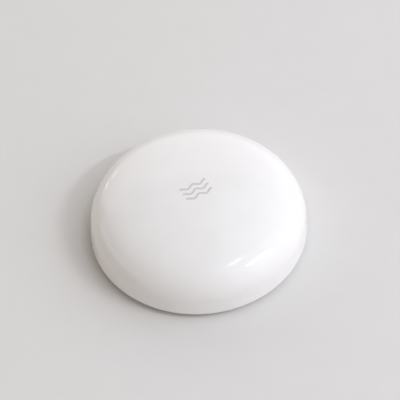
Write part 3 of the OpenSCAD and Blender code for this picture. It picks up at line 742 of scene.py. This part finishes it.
# Switch plate
# A square of tinned steel with a hole for the plunger.
# It lies on the nylon tray, whose four corner pins are melted over into round heads.
plate_w = 5.2
plate_low = 10.0
plate_t = 0.2
plate_high = plate_low + plate_t
plate_corner_r = 0.4
plate_hole_r = 1.3
rivet_r = 0.36
rivet_h = 0.14
rivet_at = 1.9
switch_plate = block("switch_plate", 0, 0, plate_low, plate_w, plate_w, plate_t)
soften(switch_plate, plate_corner_r, 4, lambda a, b: abs(a.z - b.z) > 0.1)
hole_section = [(0, plate_low - 0.1), (plate_hole_r, plate_low - 0.1), (plate_hole_r, plate_high - 0.05)]
hole_section += [(plate_hole_r + 0.15, plate_high + 0.1), (0, plate_high + 0.1)]
cut(switch_plate, spin_piece("plate_drill", hole_section, 64), "DIFFERENCE")
coat(switch_plate, tin)
rivet_section = [(0, plate_high - 0.02), (rivet_r, plate_high - 0.02)]
for a in (0.2, 0.5, 0.8, 1.1, 1.4):
    rivet_section.append((rivet_r * math.cos(a), plate_high + rivet_h * math.sin(a)))
rivet_section.append((0, plate_high + rivet_h))
for x in (-rivet_at, rivet_at):
    for y in (-rivet_at, rivet_at):
        rivet = shift(spin_piece("rivet", rivet_section, 24), x, y, 0)
        coat(rivet, black_nylon)
        join(switch_plate, rivet)
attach(switch_plate, "housing")
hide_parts("switch_frame")

# Cell holder and contacts
# A ring in black nylon with two spring clips and two pegs that are pushed into the board.
# Two leaves of gold finished bronze press on the cell: one on its side, one on its cap.
bronze_pale = (0.80, 0.58, 0.28, 1.0)
bronze_deep = (0.68, 0.47, 0.20, 1.0)
dress("cell_holder", black_nylon)
bronze_leaf = drawn_metal("bronze_leaf", bronze_pale, bronze_deep, roughness=0.28, streak=0.25)
dress("positive_contact", bronze_leaf)
dress("negative_contact", bronze_leaf)

# Dome
# One moulding in glossy white ABS, polished outside: crown, broad shoulder, drafted side and a rolled rim.
# Inside are the base's seat with a groove for its bead, eight stop ribs, three screw bosses and a stem.
dome_pale = (0.845, 0.838, 0.83, 1.0)
dome_deep = (0.825, 0.818, 0.81, 1.0)
rim_low = 1.0
dome_top = 15.0
bend_r = 7.2
bend_gain = 99.16
bend_power = 5.274
shoulder_slope = 25.0
crown_rings = 36
inner_rings = 24
ring_growth = 1.6
steps_per_ring = 12
draft = 4.2
roll_r = 24.095
roll_z = 1.9
roll_size = 0.9
wall = 1.8
thin_wall = 1.0
thin_r = 7.0
seat_r = 23.1
seat_top = 5.2
groove_z = 4.3
groove_size = 0.5
groove_half = math.degrees(math.asin(0.98))
stem_r = 1.6
stem_low = 11.23
stop_ribs = 8
stop_rib_in = 21.7
stop_rib_w = 1.2
boss_r = 2.4
boss_hole_r = 0.98
boss_hole_top = 11.5
boss_edge = 0.15


def crown_line(inset, rings):
    """The crown, or its inside, from its middle to the shoulder, which it meets by bending ever tighter."""
    line = [(0, dome_top - inset)]
    r = 0.0
    z = dome_top
    slope = 90.0
    fan = slope - shoulder_slope
    for i in range(1, rings + 1):
        step = (slope - 90.0 + fan * (i / rings) ** ring_growth) / steps_per_ring
        for part in range(steps_per_ring):
            middle = slope - step / 2
            way = math.radians(middle)
            radius = bend_r + bend_gain * ((middle - shoulder_slope) / fan) ** bend_power
            r += radius * math.radians(step) * math.sin(way)
            z -= radius * math.radians(step) * math.cos(way)
            slope -= step
        way = math.radians(slope)
        line.append((r - inset * math.cos(way), z - inset * math.sin(way)))
    return line


def crown_height(r, inset):
    """Height of the crown, or of its inside, at a radius."""
    line = crown_line(inset, crown_rings)
    for (r1, z1), (r2, z2) in zip(line, line[1:]):
        if r <= r2:
            return z1 + (z2 - z1) * (r - r1) / (r2 - r1)


def draw_plate(name, points, rise):
    """A flat shape, drawn round its outline, filled, and extruded along a straight way."""
    piece = draw_loop(name, points)
    bpy.ops.mesh.select_all(action="SELECT")
    bpy.ops.mesh.edge_face_add()
    bpy.ops.mesh.extrude_region_move(TRANSFORM_OT_translate={"value": Vector(rise) * MM})
    return weld(piece)


dome_section = crown_line(0, crown_rings)
shoulder_at = dome_section[-1][0] - bend_r * math.cos(math.radians(shoulder_slope))
shoulder_z = dome_section[-1][1] - bend_r * math.sin(math.radians(shoulder_slope))
dome_section += arc_points(shoulder_at, shoulder_z, bend_r, shoulder_slope, draft, 9)[1:]
dome_section += arc_points(roll_r, roll_z, roll_size, draft, -90, 14)
dome_section += [(seat_r + 0.12, rim_low), (seat_r, rim_low + 0.12)]
dome_section += arc_points(seat_r - 0.1, groove_z, groove_size, -groove_half, groove_half, 12)
dome_section += [(seat_r, seat_top)]
inner_side = arc_points(shoulder_at, shoulder_z, bend_r - wall, draft, shoulder_slope, 6)
ledge_in = inner_side[0][0] + (inner_side[0][1] - seat_top) * math.tan(math.radians(draft))
dome_section += [(ledge_in, seat_top)] + inner_side
dome_section += [p for p in reversed(crown_line(wall, inner_rings)[:-1]) if p[0] > thin_r + 0.5]
dome_section += [(thin_r + 0.3, crown_height(thin_r + 0.3, wall))]
dome_section += [(thin_r, crown_height(thin_r, wall) + 0.25), (thin_r - 0.3, crown_height(thin_r, thin_wall))]
dome_section += [(r, crown_height(r, thin_wall)) for r in (5, 3, stem_r + 0.25)]
dome_section += [(stem_r, crown_height(stem_r, thin_wall) - 0.25), (stem_r, stem_low + 0.2)]
dome_section += [(stem_r - 0.2, stem_low), (0, stem_low)]
dome = spin_piece("dome", dome_section, 240)

# The stop ribs stand on the inside of the side, from the base's skirt up to where the wall meets them.
rib_low = seat_top + 0.01
rib_wall = arc_points(shoulder_at, shoulder_z, bend_r - wall / 2, 0, 58, 14)
rib_line = [(stop_rib_in, rib_low), (rib_wall[0][0] - 0.02, rib_low)]
rib_line += [p for p in rib_wall if p[0] > stop_rib_in]
rib = draw_plate("stop_rib", [(r, -stop_rib_w / 2, z) for r, z in rib_line], (0, stop_rib_w, 0))
rib_step = 360 / stop_ribs
ribs = [turn(twin(rib, "stop_rib_turned"), rib_step * (k + 0.5), 0, 0) for k in range(stop_ribs)]
bpy.data.objects.remove(rib)

# The screw bosses hang from the inside of the crown, each with a blind hole.
boss_top = crown_height(screw_ring, wall / 2) - 0.35
boss_section = [(0, boss_top), (boss_r, boss_top), (boss_r, board_high + boss_edge)]
boss_section += [(boss_r - boss_edge, board_high), (boss_hole_r + boss_edge, board_high)]
boss_section += [(boss_hole_r, board_high + boss_edge), (boss_hole_r, boss_hole_top)]
boss_section += [(0, boss_hole_top + 0.3)]
bosses = [shift(spin_piece("screw_boss", boss_section, 64), x, y, 0) for x, y in screw_places]
join(dome, *ribs, *bosses)
dome_abs = moulded_plastic("dome_abs", dome_pale, dome_deep, roughness=0.14, grain=0.5, grain_height=0.0012)
dome_abs.node_tree.nodes["Principled BSDF"].inputs["IOR"].default_value = 1.4
coat(dome, dome_abs)
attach(dome, "housing")
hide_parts("top_shell")

# Printed waves
# Three wavy lines, pad printed in pale grey ink on the middle of the crown: a plain sign for water.
# The ink is a thin film, drawn flat above the crown and then laid on it.
wave_length = 3.1
wave_reach = 3.1
wave_swing = 0.36
wave_width = 0.52
wave_rows = (-1.55, 0.0, 1.55)
wave_steps = 60
ink_height = 0.012
ink_lift = 0.004
drawn_at = 15.5
ink_pale = (0.605, 0.592, 0.602, 1.0)
ink_deep = (0.585, 0.572, 0.582, 1.0)
tip_section = [(0, drawn_at), (wave_width / 2, drawn_at)]
tip_section += [(wave_width / 2, drawn_at + ink_height), (0, drawn_at + ink_height)]
waves = []
for row_y in wave_rows:
    line = []
    for i in range(wave_steps + 1):
        x = -wave_reach + 2 * wave_reach * i / wave_steps
        line.append((x, row_y + wave_swing * math.sin(math.tau * x / wave_length + math.pi / 2)))
    wave = lay_track("wave", line, wave_width, drawn_at, ink_height)
    for x, y in (line[0], line[-1]):
        join(wave, shift(spin_piece("wave_tip", tip_section, 32), x, y, 0))
    waves.append(wave)
printed_waves = join(*waves)
printed_waves.name = "printed_waves"
for corner in printed_waves.data.vertices:
    r = math.hypot(corner.co.x, corner.co.y) / MM
    corner.co.z += (crown_height(r, 0) + ink_lift - drawn_at) * MM
grey_ink = moulded_plastic("grey_ink", ink_pale, ink_deep, roughness=0.3, grain=0.15, grain_height=0.0008)
coat(printed_waves, grey_ink)
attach(printed_waves, "housing")

# Board screws
# Three pan head screws in zinc plated steel, with a cross recess and a sharp thread that cuts the bosses.
# They come up through the board into the dome.
screw_head_low = 6.5
screw_head_r = 1.9
screw_edge_r = 0.6
screw_neck_r = 0.92
screw_root_r = 0.72
screw_crest_r = 0.95
screw_tip_r = 0.35
screw_tip = 11.0
recess_l = 2.1
recess_w = 0.46
recess_depth = 0.72
recess_taper = (0.62, 0.7, 1.0)
zinc_pale = (0.62, 0.63, 0.65, 1.0)
zinc_deep = (0.50, 0.51, 0.53, 1.0)
screw_section = [(0, screw_head_low), (0.7, screw_head_low + 0.02), (1.2, screw_head_low + 0.1)]
screw_section += arc_points(screw_head_r - screw_edge_r, screw_head_low + 0.74, screw_edge_r, -75, 0, 8)
screw_section += [(screw_head_r, board_low - 0.06), (screw_head_r - 0.06, board_low)]
screw_section += [(screw_neck_r, board_low), (screw_neck_r, board_high - 0.1)]
screw_section += [(screw_root_r, board_high + 0.1)]
screw_section += [(screw_root_r, screw_tip - 0.35), (screw_tip_r, screw_tip), (0, screw_tip)]
board_screw = spin_piece("board_screw_1", screw_section, 64)
for angle in (0, 90):
    recess = block("recess", 0, 0, screw_head_low - 0.1, recess_l, recess_w, recess_depth + 0.1)
    pick_faces(recess, lambda middle, normal: normal.z > 0.9)
    bpy.ops.transform.resize(value=recess_taper, center_override=(0, 0, 0))
    bpy.ops.mesh.select_mode(type="VERT")
    bpy.ops.object.mode_set(mode="OBJECT")
    cut(board_screw, turn(recess, angle, 0, 0), "DIFFERENCE")
screw_ridge = [(screw_root_r - 0.05, 8.7), (screw_crest_r, 8.86), (screw_root_r - 0.05, 9.0)]
join(board_screw, wind("screw_thread", screw_ridge, pitch=0.45, turns=3.8, steps=160))
zinc_plate = drawn_metal("zinc_plate", zinc_pale, zinc_deep, roughness=0.3, streak=0.25)
coat(board_screw, zinc_plate)
screws = [board_screw, twin(board_screw, "board_screw_2"), twin(board_screw, "board_screw_3")]
for screw, (x, y) in zip(screws, screw_places):
    shift(screw, x, y, 0)
    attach(screw, "housing")
    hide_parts("board_screws")

# Coin cell
# A drawn steel can with its rim crimped over a plastic ring, which keeps the domed cap apart from it.
# A plus sign is struck in the can's face. The cell lies cap up between the cover's rests and the contacts.
cell_low = 3.4
cell_r = 10.0
can_edge_r = 0.55
can_high = 6.4
can_wall = 0.3
crimp_r = 0.4
crimp_in = 9.3
cap_r = 8.9
cap_low = 3.73
cap_high = 6.6
cap_edge_r = 0.5
cap_hollow = 0.03
plus_l = 3.2
plus_w = 0.7
plus_rise = 0.05
plus_edge = 0.04
nickel_pale = (0.70, 0.69, 0.665, 1.0)
nickel_deep = (0.615, 0.605, 0.58, 1.0)
nickel = turned_metal("nickel_plate", nickel_pale, nickel_deep, roughness=0.2,
                      ring_width=0.25, ring_height=0.003, off_axis=0.0)
can_section = [(0, cell_low), (8.2, cell_low), (8.35, cell_low + 0.05), (8.5, cell_low)]
can_section += arc_points(cell_r - can_edge_r, cell_low + can_edge_r, can_edge_r, -90, 0, 10)
can_section += [(cell_r, can_high - 0.5)]
can_section += arc_points(cell_r - crimp_r, can_high - crimp_r, crimp_r, 0, 90, 8)
can_section += [(crimp_in + 0.06, can_high), (crimp_in, can_high - 0.06), (crimp_in, can_high - can_wall)]
can_section += [(cell_r - can_wall, can_high - can_wall), (cell_r - can_wall, cell_low + can_wall)]
can_section += [(0, cell_low + can_wall)]
steel_can = spin_piece("steel_can", can_section, 160)
plus_bars = []
for angle in (0, 90):
    bar = block("plus_bar", 0, 0, cell_low - plus_rise, plus_l, plus_w, plus_rise + 0.1)
    soften(bar, plus_edge, 2, lambda a, b: a.z + b.z < 2 * cell_low)
    plus_bars.append(turn(bar, angle, 0, 0))
join(steel_can, *plus_bars)
coat(steel_can, nickel)
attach(steel_can, "housing")
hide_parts("cell_can")
cap_section = [(0, cap_high - cap_hollow), (5.0, cap_high - cap_hollow), (6.0, cap_high)]
cap_section += arc_points(cap_r - cap_edge_r, cap_high - cap_edge_r, cap_edge_r, 90, 0, 10)
cap_section += [(cap_r, cap_low), (0, cap_low)]
steel_cap = spin_piece("steel_cap", cap_section, 160)
coat(steel_cap, nickel)
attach(steel_cap, "housing")
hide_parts("cell_cap")
dress("cell_gasket", black_nylon)

# Cover seal
# A grey silicone ring in the corner between the cover's flange and its pin ring.
# It drops with the cover but doesn't turn with it.
dress("cover_seal", silicone)

# Battery cover
# A round moulding in white ABS: a flange, a ring with three bayonet pins, three rests for the cell.
# A coin in its slot turns it, and the pins wind down the slots of the base's lock ring.
under = 0.8
flange_r = 15.4
flange_high = 1.9
ring_r = 12.4
ring_in_r = 11.0
ring_high = 5.4
ring_edge_r = 0.25
floor_high = 2.6
cover_edge_r = 0.3
pin_r = 0.55
pin_end = 13.3
pin_edge_r = 0.12
pin_z = 4.35
rest_r = 1.0
rest_top = 3.37
rest_edge_r = 0.15
rest_ring = 5
coin_half = 7.4
coin_r = 1.1
coin_top = under + 1.0
mark_low = under - 0.2
mark_angle = 75
cover_section = [(0, under)]
cover_section += arc_points(flange_r - cover_edge_r, under + cover_edge_r, cover_edge_r, -90, 0, 8)
cover_section += [(flange_r, flange_high - 0.1), (flange_r - 0.1, flange_high), (ring_r, flange_high)]
cover_section += arc_points(ring_r - ring_edge_r, ring_high - ring_edge_r, ring_edge_r, 0, 90, 6)
cover_section += [(ring_in_r + 0.2, ring_high), (ring_in_r, ring_high - 0.2)]
cover_section += arc_points(ring_in_r - cover_edge_r, floor_high + cover_edge_r, cover_edge_r, 0, -90, 6)
cover_section += [(0, floor_high)]
coin_cover = spin_piece("coin_cover", cover_section, 192)
coin_section = [(0, coin_top), (coin_r - 0.2, coin_top), (coin_r, coin_top - 0.2), (coin_r, under + 0.16)]
coin_section += [(coin_r + 0.05, under + 0.06), (coin_r + 0.3, under - 0.2), (0, under - 0.2)]
coin_tool = spin_piece("coin_tool", coin_section, 48)
for corner in coin_tool.data.vertices:
    if abs(corner.co.x) > weld_gap:
        corner.co.x += math.copysign(coin_half * MM, corner.co.x)
cut(coin_cover, coin_tool, "DIFFERENCE")
mark_corners = [(14.9, 0, mark_low), (13.7, 0.6, mark_low), (13.7, -0.6, mark_low)]
mark_tool = draw_plate("mark_tool", mark_corners, rise=(0, 0, 0.45))
cut(coin_cover, turn(mark_tool, mark_angle, 0, 0), "DIFFERENCE")
pin_section = [(0, ring_r - 0.3), (pin_r, ring_r - 0.3)]
pin_section += arc_points(pin_r - pin_edge_r, pin_end - pin_edge_r, pin_edge_r, 0, 90, 5)
pin_section += [(0, pin_end)]
pins = []
for angle in (30, 150, 270):
    pin = spin_piece("bayonet_pin", pin_section, 32)
    edit(pin)
    bpy.ops.transform.rotate(value=-math.radians(90), orient_axis="Y", center_override=(0, 0, 0))
    bpy.ops.object.mode_set(mode="OBJECT")
    pins.append(turn(shift(pin, 0, 0, pin_z), angle, 0, 0))
rest_section = [(0, floor_high - 0.2), (rest_r, floor_high - 0.2)]
rest_section += arc_points(rest_r - rest_edge_r, rest_top - rest_edge_r, rest_edge_r, 0, 90, 5)
rest_section += [(0, rest_top)]
rests = []
for angle in (0, 120, 240):
    cell_rest = shift(spin_piece("cell_rest", rest_section, 40), rest_ring, 0, 0)
    rests.append(turn(cell_rest, angle, 0, 0))
join(coin_cover, *pins, *rests)
cover_abs = moulded_plastic("cover_abs", base_pale, base_deep, roughness=0.36, grain=0.12, grain_height=0.005)
coat(coin_cover, cover_abs)
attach(coin_cover, "cover")
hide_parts("battery_cover")

# Floor
# A plain pale worktop, a little warm, that takes the soft shadow of the sensor.
floor_colour = (0.72, 0.71, 0.695, 1.0)
floor_deep = (0.71, 0.70, 0.685, 1.0)
bpy.ops.mesh.primitive_grid_add(x_subdivisions=8, y_subdivisions=8, size=6.0, location=(0, 0, 0))
worktop = bpy.context.object
worktop.name = "worktop"
worktop_stone = moulded_plastic("worktop_stone", floor_colour, floor_deep,
                                roughness=0.8, grain=0.8, grain_height=0.0)
worktop_stone.node_tree.nodes["Principled BSDF"].inputs["Specular IOR Level"].default_value = 0.15
coat(worktop, worktop_stone)

# Light
# A broad window on the right, four soft panels round the table and the warm, dim light of a pale room.
# Two small panes lay the streaks on the front shoulder, and two far bulbs the glints on the left.
room = bpy.data.worlds.new("dim_room")
bpy.context.scene.world = room
room.use_nodes = True
wiring = room.node_tree
room_light = wiring.nodes["Background"]
room_light.inputs["Color"].default_value = (0.288, 0.258, 0.212, 1.0)
pale_wall = wiring.nodes.new("ShaderNodeBackground")
pale_wall.inputs["Color"].default_value = floor_colour
rays = wiring.nodes.new("ShaderNodeLightPath")
straight = wiring.nodes.new("ShaderNodeMath")
straight.operation = "MAXIMUM"
seen = wiring.nodes.new("ShaderNodeMath")
seen.operation = "MAXIMUM"
backdrop = wiring.nodes.new("ShaderNodeMixShader")
link = wiring.links.new
link(rays.outputs["Is Camera Ray"], straight.inputs[0])
link(rays.outputs["Is Glossy Ray"], straight.inputs[1])
link(straight.outputs["Value"], seen.inputs[0])
link(rays.outputs["Is Transmission Ray"], seen.inputs[1])
link(seen.outputs["Value"], backdrop.inputs["Fac"])
link(room_light.outputs["Background"], backdrop.inputs[1])
link(pale_wall.outputs["Background"], backdrop.inputs[2])
link(backdrop.outputs["Shader"], wiring.nodes["World Output"].inputs["Surface"])


def hang_lamp(name, azimuth, rise, tilt, width, height, watts, colour):
    """A flat lamp one metre from the dome, facing it: angles in degrees, sizes in metres."""
    around = math.radians(azimuth)
    above = math.radians(rise)
    way = Vector((math.cos(above) * math.cos(around), math.cos(above) * math.sin(around), math.sin(above)))
    bpy.ops.object.light_add(type="AREA", location=way + Vector((0, 0, 8 * MM)))
    lamp = bpy.context.object
    lamp.name = name
    lamp.rotation_mode = "QUATERNION"
    lamp.rotation_quaternion = way.to_track_quat("Z", "Y") @ Quaternion((0, 0, 1), math.radians(tilt))
    lamp.data.shape = "RECTANGLE"
    lamp.data.size = width
    lamp.data.size_y = height
    lamp.data.energy = watts
    lamp.data.color = colour


# Azimuth, rise and tilt, then width, height, watts and colour.
hang_lamp("window", -24, 54, 0, 1.7, 1.1, 6.55, (0.78, 0.865, 1.0))
hang_lamp("right_panel", -46, 18, 0, 1.7, 0.6, 2.1, (1.0, 0.9, 1.0))
hang_lamp("far_panel", 66, 22, 0, 2.0, 0.8, 4.6, (1.0, 0.95, 0.97))
hang_lamp("near_panel", -60, 36, 0, 1.8, 1.0, 3.0, (0.9, 0.91, 1.0))
hang_lamp("left_panel", 160, 10, 0, 1.4, 0.3, 1.55, (1.0, 0.86, 0.85))
hang_lamp("upper_pane", -58, 66.5, 0, 0.21, 0.06, 0.36, (1.0, 1.0, 1.0))
hang_lamp("lower_pane", -50, 44, -25, 0.31, 0.06, 2.0, (0.94, 0.96, 1.0))
hang_lamp("far_bulb", 93, 8, 0, 0.06, 0.06, 0.05, (1.0, 0.98, 0.96))
hang_lamp("low_bulb", 100, 5, 0, 0.05, 0.05, 0.05, (1.0, 0.98, 0.96))

# Camera
# It looks down on the crown from the front left, as the photograph does, with a long lens.
eye = Vector((-127.923, -252.475, 355.861)) * MM
aim = Vector((1.749, 2.022, 8.133)) * MM
roll = Quaternion((0, 0, 1), math.radians(-3.493))
bpy.ops.object.camera_add(location=eye)
camera = bpy.context.object
camera.rotation_mode = "QUATERNION"
camera.rotation_quaternion = (aim - eye).to_track_quat("-Z", "Y") @ roll
camera.data.sensor_width = 36.0
camera.data.lens = 176.55
camera.data.clip_start = 0.01
camera.data.clip_end = 20.0
bpy.context.scene.camera = camera
bpy.context.scene.view_settings.view_transform = "Standard"
